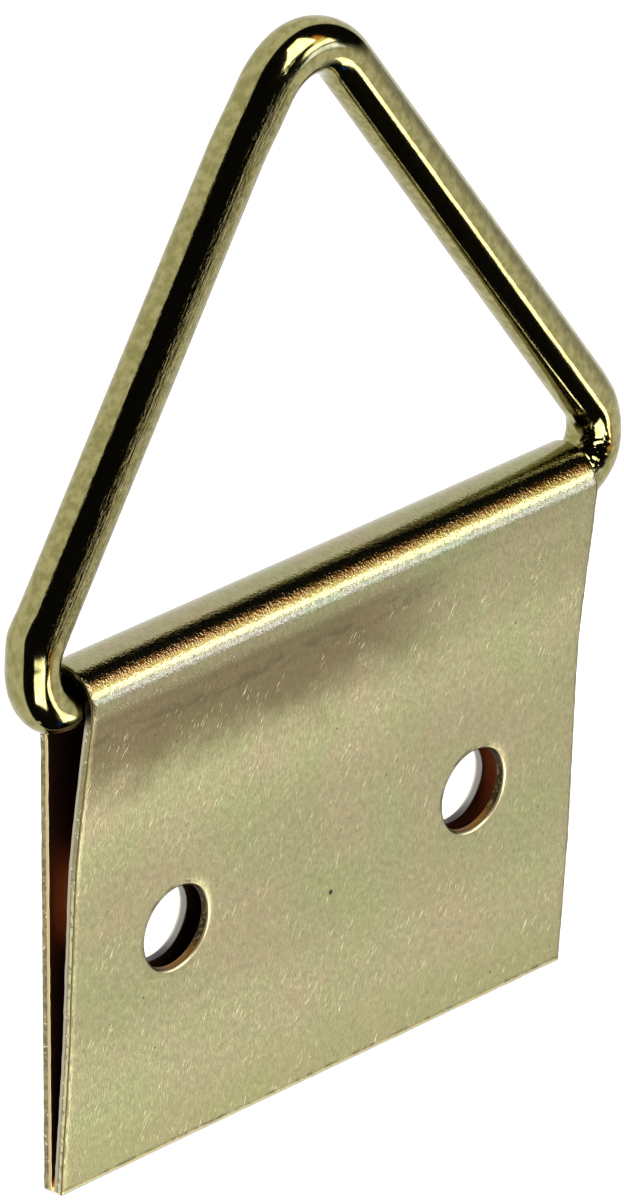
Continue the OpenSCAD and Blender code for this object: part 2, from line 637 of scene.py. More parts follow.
        # Real scratches are finer than a pixel, so they are drawn as wide as they need to show
        squash = (1.0, self.scratch_mm, self.scratch_mm / self.scratch_length_mm)
        strokes = soft_noise(tree, turned, self.scratch_mm, detail=1.0, squash=squash)
        groups = soft_noise(tree, place.point, self.scratch_group_mm, detail=2.0)
        scratch = [
            on_leaf,
            Step(strokes, self.scratch_noise, (0.0, self.scratch_share)),
            Step(groups, self.scratch_group_noise),
        ]
        cells = add_node(tree, "TexVoronoi", {}, {"Vector": place.point, "Scale": 1 / self.speck_spacing_mm})
        middle = (self.main_speck_x_mm, blank.half_thick, blank.knuckle_to + self.main_speck_depth_mm)
        away = add_node(tree, "VectorMath", DISTANCE, {0: place.point, 1: middle}, MATH_NUMBER)
        specks = [
            [on_leaf, Step(cells, self.speck_r_mm, (0.0, self.speck_share), unit=1 / self.speck_spacing_mm)],
            [on_leaf, Step(away, self.main_speck_r_mm)],
        ]
        return [(scratch, self.scratch), *((speck, self.speck) for speck in specks)]

    def painted_edge_shading(self, place: SheetPlace) -> list[tuple[Any, str]]:
        """Paint a broken dark line of shade along the cut edges and round each hole's upper left, with a
        painted highlight below it at the foot.

        Args:
            place: Where a point lies in the blank.

        Returns:
            Coats of the painted shade line and of the painted highlight.
        """
        tree, hole_r = place.tree, place.blank.hole_r
        # Painted shade round the upper left of each hole's rim, along the side edges and above the foot
        spoke = add_node(tree, "CombineXYZ", {}, {"X": place.to_right, "Y": place.below})
        away = add_node(tree, "VectorMath", {"operation": "LENGTH"}, {0: spoke}, MATH_NUMBER)
        to_lower_right = add_node(tree, "Math", PLUS, {0: place.to_right, 1: place.below})
        breaks = soft_noise(tree, place.point, self.edge_shade_mm, detail=4.0, roughness=0.6)
        rim = [
            Step(away, self.rim_line_mm, past=hole_r),
            Step(to_lower_right, self.rim_line_upper_left, unit=hole_r),
        ]
        line = share_of(tree, rim)
        for edge in (Step(place.to_side, self.side_line_mm), Step(place.to_foot, self.foot_line_mm)):
            line = add_node(tree, "Math", LARGER, {0: line, 1: edge.draw(tree)})
        broken = Step(breaks, self.edge_shade_noise, self.edge_shade_shares).draw(tree)
        line = add_node(tree, "Math", TIMES, {0: line, 1: broken})
        # The painted highlight lies along the foot's edge, below the painted shade line
        return [(line, self.edge_shade), ([Step(place.to_foot, self.foot_highlight_mm, (0.0, self.foot_highlight_share))], self.foot_highlight)]

    def material(self, blank: Blank) -> bpy.types.Material:
        """Make the finish.

        Args:
            blank: Blank that the finish lies on.

        Returns:
            The material.
        """
        material, tree, shader, point = start_metal(self.name)
        place = SheetPlace.of(tree, point, blank)
        foot = Step(place.to_foot, self.foot_mm, (0.0, self.foot_share))
        inner = add_node(tree, "Math", {"operation": "LESS_THAN"}, {0: place.side, 1: 0.0})
        at_feet = Step(place.from_knuckle, self.inside_foot_mm, past=blank.length / 2).draw(tree)
        inner_feet = add_node(tree, "Math", TIMES, {0: inner, 1: at_feet})
        plating, grain = self.plating(place)
        # The coats hold painted reflections below the fold, and painted shade and a painted highlight along
        # the edges
        colour = coat(
            tree, plating,
            [
                ([foot], self.foot), *self.painted_reflections(place), *self.marks(place), *self.painted_edge_shading(place),
                (inner, self.inside), (inner_feet, self.inside_foot),
            ],
        )
        # The tool that rolled the knuckle left it polished but pitted
        pits = soft_noise(tree, point, self.pit_mm, detail=2.0, roughness=0.6)
        satin = Step(place.from_knuckle, self.satin_past_knuckle_mm, past=blank.knuckle_half).draw(tree)
        pit, ridge = [
            add_node(tree, "MapRange", {}, {"Value": value, "To Max": height * MM})
            for value, height in ((pits, self.pit_height_mm), (grain, self.grain_height_mm))
        ]
        height = add_node(tree, "Mix", {}, {"Factor": satin, "A": pit, "B": ridge})
        bump = add_node(tree, "Bump", {}, {"Height": height, "Distance": 1.0, "Strength": 1.0})
        roughness = add_node(
            tree, "MapRange", {},
            {"Value": satin, "To Min": self.knuckle_roughness, "To Max": self.leaf_roughness},
        )
        fill(tree, shader, {"Base Color": colour, "Normal": bump, "Roughness": roughness})
        return material


@dataclass(frozen=True)
class ShearedEdge:
    """Edge where the shears cut the sheet.

    The blade smears the plating over torn steel. The eye sees an olive edge with worn patches and painted
    glints on small nicks, and a pale burr along its inner side that is partly a painted highlight. On the
    lower front leaf a broken pale painted highlight lies on the roll of the cut, beside a dark line of
    painted shade. Where the edge lies in the shade of the ring's corner, it is nearly black.
    """

    name: str = "sheared_plated_steel_edge"
    dull: str = "#7A704F"
    front_dull: str = "#918762"
    worn: str = "#A0966E"
    # Burr along the inner side, pale partly by its own colour and partly as a painted highlight
    rear_burr_glint: str = "#D6C293"
    front_burr_glint: str = "#B6B29D"
    # Painted highlight on the cut's roll, and painted shade in a dark line beside it
    roll_highlight: str = "#DAD3A4"
    line: str = "#6A6145"
    shaded: str = "#1B150C"
    # Painted glints on small nicks in the edge
    nick_glint: str = "#FBF3CE"
    roughness: float = 0.34
    tear_mm: float = 0.22
    worn_noise: Span = (0.38, 0.62)
    # Size, place in the noise and share of the painted glints
    nick_glint_mm: float = 0.16
    nick_glint_place: float = 5.0
    nick_glint_noise: Span = (0.62, 0.72)
    burr_mm: Span = (0.17, 0.1133)
    # Place of the painted highlight on the roll, and of the painted shade line beside it
    roll_highlight_at_mm: float = 0.09
    roll_highlight_half_mm: Span = (0.098, 0.035)
    roll_highlight_noise: Span = (0.36, 0.5)
    roll_highlight_past_knuckle_mm: Span = (7.0, 10.0)
    line_mm: Span = (0.15, 0.18)
    shade_past_knuckle_mm: Span = (0.9, -0.3)
    shade_side: Span = (0.8, 0.4)

    def material(self, blank: Blank) -> bpy.types.Material:
        """Make the finish.

        Args:
            blank: Blank that the finish lies on.

        Returns:
            The material.
        """
        material, tree, shader, point = start_metal(self.name)
        place = SheetPlace.of(tree, point, blank)
        tears = soft_noise(tree, point, self.tear_mm, detail=4.0)
        # Painted glints on small nicks in the edge
        nick_glints = add_node(
            tree, "TexNoise", {"noise_dimensions": "4D"},
            {"Vector": point, "W": self.nick_glint_place, "Scale": 1 / self.nick_glint_mm, "Detail": 1.0},
        )
        # Painted highlight on the roll of the cut, low on the front leaf
        off_roll_highlight = add_node(tree, "Math", MINUS, {0: place.side, 1: self.roll_highlight_at_mm})
        from_roll_highlight = add_node(tree, "Math", SIZE_OF, {0: off_roll_highlight})
        # Band of the burr, painted pale partly as a highlight
        burr = Step(place.side, self.burr_mm, past=-blank.half_thick)
        roll_highlight = [
            place.front,
            Step(from_roll_highlight, self.roll_highlight_half_mm),
            Step(tears, self.roll_highlight_noise),
            Step(place.along, self.roll_highlight_past_knuckle_mm, past=blank.knuckle_to),
        ]
        shade = [
            Step(place.from_knuckle, self.shade_past_knuckle_mm, past=blank.knuckle_half),
            Step(place.side, self.shade_side, unit=blank.half_thick),
        ]
        # Coats over the edge: painted glints, a painted shade line, a painted highlight on the roll, the burr
        # partly as a painted highlight, and painted shade where the ring's corner hides it
        colour = coat(
            tree, linear(self.dull),
            [
                ([place.front], self.front_dull), ([Step(tears, self.worn_noise)], self.worn),
                ([Step(nick_glints, self.nick_glint_noise)], self.nick_glint), ([Step(place.side, self.line_mm)], self.line),
                (roll_highlight, self.roll_highlight), ([burr], self.rear_burr_glint), ([burr, place.front], self.front_burr_glint),
                (shade, self.shaded),
            ],
        )
        fill(tree, shader, {"Base Color": colour, "Roughness": self.roughness})
        return material


@dataclass(frozen=True)
class PunchedWall:
    """Wall and rim of a punched hole.

    The punch draws the rim in with it and tears the rest. The eye sees bare grey steel in the rear leaf,
    painted paler with light towards its outer face. In the front leaf the wall is painted dark for shade in
    the hole, and painted golden with light at its bottom. The rim has a painted highlight at its lower right
    and painted shade elsewhere.
    """

    name: str = "punched_plated_steel_wall"
    steel: str = "#97938C"
    # Painted light on the rear wall towards its outer face
    lit_steel: str = "#DCDBD6"
    bottom_steel: str = "#3B3B3F"
    # Painted shade in the front leaf's wall, and painted light at its bottom
    dark: str = "#3A301C"
    golden: str = "#8F642B"
    worn: str = "#857549"
    # Painted shade on the rim, and a painted highlight at its lower right
    rim_shade: str = "#5A5034"
    rim_highlight: str = "#F6E9B8"
    roughness: float = 0.42
    tear_mm: float = 0.16
    worn_noise: Span = (0.52, 0.66)
    # Where the painted light on the rear wall starts and is full
    lit_side: Span = (0.0, 0.7)
    rim_side: Span = (0.5, 0.65)
    bottom_below: Span = (0.55, 1.0)
    # Where the rim's painted highlight faces the light, towards the lower right
    highlight_facing: Span = (0.05, 0.55)
    highlight_right: float = 0.8
    highlight_down: float = 0.6

    def material(self, blank: Blank) -> bpy.types.Material:
        """Make the finish.

        Args:
            blank: Blank that the finish lies on.

        Returns:
            The material.
        """
        material, tree, shader, point = start_metal(self.name)
        place = SheetPlace.of(tree, point, blank)
        tears = soft_noise(tree, point, self.tear_mm, detail=3.0)
        # Painted highlight on the rim, strongest towards the lower right
        weighed = add_node(tree, "Math", TIMES, {0: place.below, 1: self.highlight_down})
        facing = add_node(tree, "Math", TIMES_PLUS, {0: place.to_right, 1: self.highlight_right, 2: weighed})
        # Painted light on the rear wall; painted shade in the front wall, with painted light at its bottom
        pale = Step(place.side, self.lit_side, unit=blank.half_thick)
        rim = Step(place.side, self.rim_side, unit=blank.half_thick)
        bottom = Step(place.below, self.bottom_below, unit=blank.hole_r)
        cream = Step(facing, self.highlight_facing, unit=blank.hole_r)
        torn = Step(tears, self.worn_noise)
        colour = coat(
            tree, linear(self.steel),
            [
                ([pale], self.lit_steel), ([bottom], self.bottom_steel), ([place.front], self.dark),
                ([place.front, bottom], self.golden), ([place.front, torn], self.worn),
                ([rim], self.rim_shade), ([rim, cream], self.rim_highlight),
            ],
        )
        fill(tree, shader, {"Base Color": colour, "Roughness": self.roughness})
        return material


@dataclass(frozen=True)
class PlatedWire:
    """Brass-plated drawn steel wire.

    Drawing through a die leaves it bright. The eye sees sharp dark and pale bands with straight borders. They
    are mottled and streaked where the bending tool dragged along the inner side of the left leg. On the
    right leg a thin pale line is a painted reflection of the knuckle below it.
    """

    name: str = "brass_plated_drawn_steel_wire"
    brass: str = "#A8A06D"
    olive: str = "#8E8855"
    # Painted reflection of the knuckle, a thin pale line on the right leg
    knuckle_reflection: str = "#FFF4CE"
    roughness: float = 0.08
    patch_mm: float = 0.36
    patch_noise: Span = (0.35, 0.65)
    pit_mm: float = 0.13
    pit_length_mm: float = 0.32
    drag_mm: float = 0.1
    drag_length_mm: float = 2.6
    mark_height_mm: float = 0.042
    smooth_share: float = 0.12
    elsewhere_share: float = 0.05
    drag_side_mm: Span = (-1.0, -0.45)
    drag_past_apex_mm: Span = (-2.0, 0.6)
    drag_past_corner_mm: Span = (1.0, -1.0)
    # Place and reach of the painted reflection line on the right leg
    knuckle_reflection_at_mm: tuple[float, float, float] = (-0.79, 0.95, 0.0)
    knuckle_reflection_half_mm: Span = (0.091, 0.042)
    knuckle_reflection_start_mm: Span = (0.6, 1.2)
    knuckle_reflection_end_mm: Span = (11.5, 8.5)

    def material(self, right_from: float, left_from: float, left_to: float) -> bpy.types.Material:
        """Make the finish.

        Args:
            right_from: Place along the wire where the right leg leaves its corner.
            left_from: Place along the wire where the left leg leaves the apex.
            left_to: Place along the wire where the left leg ends at its corner.

        Returns:
            The material.
        """
        material, tree, shader, place = start_metal(self.name)
        _, inwards, along = add_node(tree, "SeparateXYZ", {}, {"Vector": place}).node.outputs
        patches = soft_noise(tree, place, self.patch_mm, detail=5.0)
        pits, drags = [
            soft_noise(tree, place, width, detail=3.0, roughness=0.55, squash=(1.0, 1.0, width / length))
            for width, length in ((self.pit_mm, self.pit_length_mm), (self.drag_mm, self.drag_length_mm))
        ]
        height = add_node(tree, "Math", PLUS, {0: pits, 1: drags})
        dragged = [
            Step(inwards, self.drag_side_mm, (self.smooth_share, 1.0)),
            Step(along, self.drag_past_apex_mm, (self.elsewhere_share, 1.0), past=left_from),
            Step(along, self.drag_past_corner_mm, (self.elsewhere_share, 1.0), past=left_to),
        ]
        bump = add_node(
            tree, "Bump", {},
            {"Height": height, "Distance": self.mark_height_mm * MM, "Strength": share_of(tree, dragged)},
        )
        # Painted reflection of the knuckle: a thin pale line along the right leg
        section = add_node(tree, "VectorMath", TIMES, {0: place, 1: (1.0, 1.0, 0.0)})
        away = add_node(tree, "VectorMath", DISTANCE, {0: section, 1: self.knuckle_reflection_at_mm}, MATH_NUMBER)
        knuckle_reflection = [
            Step(away, self.knuckle_reflection_half_mm),
            Step(along, self.knuckle_reflection_start_mm, past=right_from),
            Step(along, self.knuckle_reflection_end_mm, past=right_from),
        ]
        colour = coat(
            tree, linear(self.brass), [([Step(patches, self.patch_noise)], self.olive), (knuckle_reflection, self.knuckle_reflection)]
        )
        fill(tree, shader, {"Base Color": colour, "Normal": bump, "Roughness": self.roughness})
        return material


@dataclass(frozen=True)
class Sizes:
    """Sizes shared by the plate and the ring, in millimetres, and the axis of the ring's bar in the frame."""

    bar: Vector
    plate_w: float
    hole_spacing: float
    hole_r: float
    hole_drop: float
    plate_drop: float
    wire_d: float = 2.5
    sheet_t: float = 0.45
    knuckle_clear: float = 0.058

    @classmethod
    def of_frame(cls) -> "Sizes":
        """Read what the frame says about the plate, its screw holes and the ring's joint.

        Returns:
            The shared sizes.
        """
        low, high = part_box("hanger_plate")
        bar = Vector(frame["joints"][0]["pos_m"])
        holes = next(mount for mount in frame["record"]["mounts"] if mount["name"] == "screw_holes")
        return cls(
            bar=bar,
            plate_w=(high.x - low.x) / MM,
            hole_spacing=holes["dims"]["spacing_x_mm"],
            hole_r=holes["dims"]["hole_r_mm"],
            hole_drop=(bar.z - holes["pos_m"][2]) / MM,
            plate_drop=(bar.z - low.z) / MM,
        )

    @property
    def knuckle_r(self) -> float:
        """Radius of the knuckle at the middle of the sheet."""
        return self.wire_d / 2 + self.knuckle_clear + self.sheet_t / 2


@dataclass(frozen=True)
class HangerPlate:
    """Strip of sheet folded over the ring's bar, with two screw holes through both leaves.

    Heights are measured from the bar's axis, and depths to the middle of the sheet.
    """

    sizes: Sizes
    finish: PlatedSheet = PlatedSheet()
    sheared: ShearedEdge = ShearedEdge()
    punched: PunchedWall = PunchedWall()
    rear_set_in: float = 0.38
    rear_wrap: float = 14.0
    neck_r: float = 5.5
    leaf_gap: float = 0.9
    foot_gap: float = 0.14
    middle_lean: float = 3.0
    upper_crease_drop: float = 7.4
    foot_h: float = 6.4
    crease_r: float = 40.0
    window_half: float = 2.9
    window_cells: int = 16
    hole_rings: int = 2
    cell: float = 0.3
    neck_rows: int = 5
    tuck_rows: int = 2
    knuckle_rows: int = 72
    upper_crease_rows: int = 6
    lower_crease_rows: int = 3
    sharp_turn: float = 50.0
    corner_r: float = 0.1
    burr_r: float = 0.03
    sheared_roll_r: float = 0.06
    punched_roll_r: float = 0.1
    hole_drawn_in: float = 0.06
    segments: int = 4
    ragged_mm: float = 0.5
    nick_mm: float = 0.2
    ragged_depth: float = 0.03
    ragged_out: float = 0.06
    wave_mm: float = 7.0
    wave_height: float = 0.03

    @property
    def hole_r(self) -> float:
        """Radius of a hole, whose rim the punch drew in."""
        return self.sizes.hole_r - self.hole_drawn_in

    @property
    def rear_y(self) -> float:
        """Depth of the rear leaf."""
        return self.sizes.knuckle_r - self.rear_set_in

    def middle_y(self, z: float) -> float:
        """Depth of the flat middle of the front leaf at a height."""
        gap = self.leaf_gap + math.tan(math.radians(self.middle_lean)) * (z + self.sizes.hole_drop)
        return self.rear_y - self.sizes.sheet_t - gap

    def run(self, length: float) -> Stretch:
        """Make a run with cells of the usual size."""
        return Stretch(rows=max(1, round(length / self.cell)), length=length)

    def run_with_hole(self, length: float, hole_at: float) -> list[Stretch]:
        """Split a run so that the window round a hole has its own cells.

        Args:
            length: Length of the run.
            hole_at: Distance of the hole's middle from the run's start.

        Returns:
            The run up to the window, the window and the rest.
        """
        window = Stretch(rows=self.window_cells, length=2 * self.window_half)
        before = hole_at - self.window_half
        return [self.run(before), window, self.run(length - before - window.length)]

    def rear_stretches(self) -> list[Stretch]:
        """List the runs and the bend from the rear leaf's foot to the knuckle.

        Returns:
            Stretches in order.
        """
        wrap = math.radians(self.rear_wrap)
        sizes = self.sizes
        offset = sizes.knuckle_r * math.cos(wrap) - self.rear_y
        neck_drop = sizes.knuckle_r * math.sin(wrap) + offset / math.tan(wrap)
        neck_cut = self.neck_r * math.tan(wrap / 2)
        leaf = self.run_with_hole(sizes.plate_drop - neck_drop - neck_cut, sizes.plate_drop - sizes.hole_drop)
        neck = Stretch(rows=self.neck_rows, radius=self.neck_r, turn=-self.rear_wrap)
        return leaf + [neck, Stretch(rows=self.tuck_rows, length=offset / math.sin(wrap) - neck_cut)]

    def upper_lean(self) -> float:
        """Work out the lean of the front leaf where it leaves the knuckle.

        Returns:
            Lean in degrees.
        """
        crease = Vector((self.middle_y(-self.upper_crease_drop), -self.upper_crease_drop))
        towards = math.degrees(math.atan2(crease.y, crease.x))
        return towards + math.degrees(math.acos(-self.sizes.knuckle_r / crease.length))

    def front_stretches(self) -> list[Stretch]:
        """List the knuckle, the runs and the soft creases down to the front leaf's foot.

        Returns:
            Stretches in order.
        """
        sizes = self.sizes
        upper, middle = self.upper_lean(), self.middle_lean
        low_crease = self.foot_h - sizes.plate_drop
        foot_y = self.rear_y - sizes.sheet_t - self.foot_gap
        foot_run = Vector((foot_y - self.middle_y(low_crease), self.foot_h))
        foot = math.degrees(math.atan2(foot_run.x, foot_run.y))
        crease = Vector((self.middle_y(-self.upper_crease_drop), -self.upper_crease_drop))
        upper_run = math.sqrt(crease.length_squared - sizes.knuckle_r**2)
        upper_cut = self.crease_r * math.tan(math.radians(upper - middle) / 2)
        lower_cut = self.crease_r * math.tan(math.radians(foot - middle) / 2)
        fall = math.cos(math.radians(middle))
        middle_run = (-self.upper_crease_drop - low_crease) / fall - upper_cut - lower_cut
        hole_at = (sizes.hole_drop - self.upper_crease_drop) / fall - upper_cut
        # The outer face of the leaning foot would reach below the rear leaf's foot
        foot_trim = sizes.sheet_t / 2 * math.tan(math.radians(foot))
        return [
            Stretch(rows=self.knuckle_rows, radius=sizes.knuckle_r, turn=self.rear_wrap + 180 + upper),
            self.run(upper_run - upper_cut),
            Stretch(rows=self.upper_crease_rows, radius=self.crease_r, turn=middle - upper),
            *self.run_with_hole(middle_run, hole_at),
            Stretch(rows=self.lower_crease_rows, radius=self.crease_r, turn=foot - middle),
            self.run(foot_run.length - lower_cut - foot_trim),
        ]

    def columns(self) -> list[Stretch]:
        """List the runs across the strip, with a window at each hole.

        Returns:
            Runs from left to right.
        """
        half, spacing = self.sizes.plate_w / 2, self.sizes.hole_spacing
        window = Stretch(rows=self.window_cells, length=2 * self.window_half)
        edge = self.run(half - spacing / 2 - self.window_half)
        between = self.run(spacing - 2 * self.window_half)
        return [edge, window, between, window, edge]

    def blank(self) -> Blank:
        """Measure the flat strip.

        Returns:
            The strip before it was folded.
        """
        sizes = self.sizes
        rear = sum(stretch.travel for stretch in self.rear_stretches())
        front = [stretch.travel for stretch in self.front_stretches()]
        return Blank(
            knuckle_from=rear,
            knuckle_to=rear + front[0],
            length=rear + sum(front),
            half_width=sizes.plate_w / 2,
            half_thick=sizes.sheet_t / 2,
            hole_r=self.hole_r,
            hole_spacing=sizes.hole_spacing,
            hole_from_knuckle=sum(front[:4]) + (front[4] - front[0]) / 2,
        )

    def fold(self, bm: bmesh.types.BMesh) -> None:
        """Fold the middle of the sheet: draw a corner along the section, and that across the strip.

        Args:
            bm: Empty mesh that gets the folded sheet.
        """
        stock = bm.verts.layers.float_vector[STOCK]
        half = self.sizes.plate_w / 2
        corner = bm.verts.new((-half, self.rear_y, -self.sizes.plate_drop))
        sweep(bm, [corner], corner.co, UP, RIGHT, self.rear_stretches() + self.front_stretches())
        edge = list(bm.verts) + list(bm.edges)
        for column in self.columns():
            for _ in range(column.rows):
                step = RIGHT * (column.length / column.rows)
                edge = bmesh.ops.spin(bm, geom=edge, axis=RIGHT, dvec=step, angle=0.0, steps=1)["geom_last"]
        for vert in bm.verts:
            vert[stock] = (vert.co.x, 0.0, vert[stock].z)

    def punch(self, bm: bmesh.types.BMesh, leaf: Leaf, side: Side) -> None:
        """Cut a window in one leaf and join it to the round rim of a screw hole.

        Args:
            bm: Folded middle of the sheet.
            leaf: Leaf that is punched.
            side: Hole that is punched.
        """
        stock = bm.verts.layers.float_vector[STOCK]
        sizes = self.sizes
        lean = math.radians(self.middle_lean) if leaf is Leaf.FRONT else 0.0
        depth = self.middle_y(-sizes.hole_drop) if leaf is Leaf.FRONT else self.rear_y
        middle = Vector((side.value * sizes.hole_spacing / 2, depth, -sizes.hole_drop))
        between = (self.rear_y + self.middle_y(-sizes.hole_drop)) / 2

        def in_window(point: Vector, slack: float) -> bool:
            """Tell whether a point lies in this leaf's window.

            Args:
                point: Point of the mesh.
                slack: Distance by which the window is widened.

            Returns:
                Whether it lies there.
            """
            offset = point - middle
            inside = max(abs(offset.x), abs(offset.z) / math.cos(lean)) < self.window_half + slack
            return inside and (point.y < between) == (depth < between)

        slack = self.cell / 4
        cut = [face for face in bm.faces if in_window(face.calc_center_median(), -slack)]
        places = [vert[stock].z for face in cut for vert in face.verts]
        along = sum(places) / len(places)
        bmesh.ops.delete(bm, geom=cut, context="FACES")
        border = [e for e in bm.edges if e.is_boundary and all(in_window(v.co, slack) for v in e.verts)]
        # Two loops in one plane can't face each other, so the rim is joined off the leaf and pressed back
        outwards = Matrix.Rotation(lean, 3, "X") @ FRONT
        turned = Matrix.Translation(middle + outwards) @ Matrix.Rotation(math.pi / 2 + lean, 4, "X")
        rim = bmesh.ops.create_circle(bm, segments=len(border), radius=self.hole_r, matrix=turned)["verts"]
        for vert in rim:
            vert[stock] = (vert.co.x, 0.0, along - leaf.value * (vert.co.z - middle.z) / math.cos(lean))
        rim_edges = list({edge for vert in rim for edge in vert.link_edges})
        bridge = bmesh.ops.bridge_loops(bm, edges=border + rim_edges)
        bmesh.ops.translate(bm, verts=rim, vec=-outwards)
        on_rim = set(rim)
        spokes = [edge for edge in bridge["edges"] if len(on_rim.intersection(edge.verts)) == 1]
        bmesh.ops.subdivide_edges(bm, edges=spokes, cuts=self.hole_rings, use_grid_fill=True)

    def wave(self, bm: bmesh.types.BMesh) -> None:
        """Leave the front leaf slightly uneven, as handled sheet is, between its knuckle and its foot.

        Args:
            bm: Folded middle of the sheet.
        """
        drop = self.sizes.plate_drop
        for vert in bm.verts:
            if vert.co.y < 0 and vert.co.z < -self.sizes.knuckle_r:
                share = near(Vector((0, 0, vert.co.z)), Vector((0, 0, -drop / 2)), drop / 2)
                vert.co += FRONT * self.wave_height * share * swell(vert.co, self.wave_mm, Seed.LEAF_WAVE)

    def thicken(self, bm: bmesh.types.BMesh) -> None:
        """Give the sheet its thickness on both sides of its middle, and name the finish of each face.

        Args:
            bm: Folded middle of the sheet.
        """
        stock = bm.verts.layers.float_vector[STOCK]
        sizes = self.sizes
        bmesh.ops.recalc_face_normals(bm, faces=bm.faces)
        bm.normal_update()
        half = sizes.sheet_t / 2
        outer = {vert: vert.normal.copy() for vert in bm.verts}
        extruded = bmesh.ops.extrude_face_region(bm, geom=bm.faces[:], use_keep_orig=True)["geom"]
        inner = [item for item in extruded if isinstance(item, bmesh.types.BMVert)]
        for vert in inner:
            vert.co -= vert.normal * half
            vert[stock] = (vert[stock].x, -half, vert[stock].z)
        for vert, normal in outer.items():
            vert.co += normal * half
            vert[stock] = (vert[stock].x, half, vert[stock].z)
        bmesh.ops.recalc_face_normals(bm, faces=bm.faces)
        for face in bm.faces:
            if len({vert[stock].y > 0 for vert in face.verts}) == 2:
                in_hole = self.at_hole(face.calc_center_median())
                face.material_index = (Skin.PUNCHED if in_hole else Skin.SHEARED).value

    def at_hole(self, point: Vector) -> bool:
        """Tell whether a point lies near a screw hole."""
        off = Vector((abs(point.x) - self.sizes.hole_spacing / 2, point.z + self.sizes.hole_drop))
        return off.length < self.window_half

    def rag(self, bm: bmesh.types.BMesh) -> None:
        """Leave the sheared edges slightly uneven, without letting the feet reach lower.

        Args:
            bm: Folded sheet with its thickness.
        """
        stock = bm.verts.layers.float_vector[STOCK]
        half = self.sizes.plate_w / 2
        last = max(vert[stock].z for vert in bm.verts)
        for vert in bm.verts:
            place = vert[stock]
            swells = swell(vert.co, self.ragged_mm, Seed.RAGGED_EDGE)
            swells += swell(vert.co, self.nick_mm, Seed.NICKS) / 2
            set_in = self.ragged_depth * (1 + swells)
            # The ends of the knuckle keep clear of the ring's corners
            out = self.ragged_out * min(1.0, max(0.0, -vert.co.z / self.sizes.knuckle_r))
            if abs(place.x) > half - self.cell / 4:
                vert.co.x += math.copysign(out - set_in, place.x)
            if min(place.z, last - place.z) < self.cell / 4:
                vert.co.z += max(0.0, set_in / 2)

    def round_edges(self, bm: bmesh.types.BMesh) -> None:
        """Round the corners of the blank, the burr on its inner side and the cut's roll on its outer side.

        Args:
            bm: Folded sheet with its thickness.
        """
        stock = bm.verts.layers.float_vector[STOCK]
        for outside, punched, radius, skin in (
            ({True, False}, False, self.corner_r, Skin.SHEARED),
            ({False}, False, self.burr_r, Skin.SHEARED),
            ({False}, True, self.burr_r, Skin.PUNCHED),
            ({True}, False, self.sheared_roll_r, Skin.SHEARED),
            ({True}, True, self.punched_roll_r, Skin.PUNCHED),
        ):
            sharp = [
                edge for edge in bm.edges
                if edge.calc_face_angle(0.0) > math.radians(self.sharp_turn)
                and {vert[stock].y > 0 for vert in edge.verts} == outside
                and self.at_hole(edge.verts[0].co) == punched
            ]
            rounded = bmesh.ops.bevel(
                bm, geom=sharp, offset=radius, offset_type="OFFSET", segments=self.segments,
                profile=0.5, affect="EDGES", material=-1,
            )
            for face in rounded["faces"]:
                face.material_index = skin.value

    def build(self) -> bpy.types.Object:
        """Build and dress the plate.

        Returns:
            The plate.
        """
        bm = bmesh.new()
        bm.verts.layers.float_vector.new(STOCK)
        self.fold(bm)
        for leaf in Leaf:
            for side in Side:
                self.punch(bm, leaf, side)
        self.wave(bm)
        self.thicken(bm)
        self.rag(bm)
        self.round_edges(bm)
        blank = self.blank()
        skins = {Skin.PLATED: self.finish, Skin.SHEARED: self.sheared, Skin.PUNCHED: self.punched}
        materials = [skins[skin].material(blank) for skin in Skin]
        piece = finish_mesh(bm, "folded_plate", self.sizes.bar, materials)
        piece.modifiers.new("flat_leaves", "WEIGHTED_NORMAL")
        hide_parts("hanger_plate")
        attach(piece, "plate")
        return piece


@dataclass(frozen=True)
class Push:
    """Place where the bending tool left the ring off its true shape, in millimetres from the bar's middle.

    Attributes:
        middle: Middle of the place, to the right and up in the ring's plane.
        reach: Distance at which the push has faded out.
        move: Push at the middle, to the right and up.
    """

    middle: tuple[float, float]
    reach: float
    move: tuple[float, float]


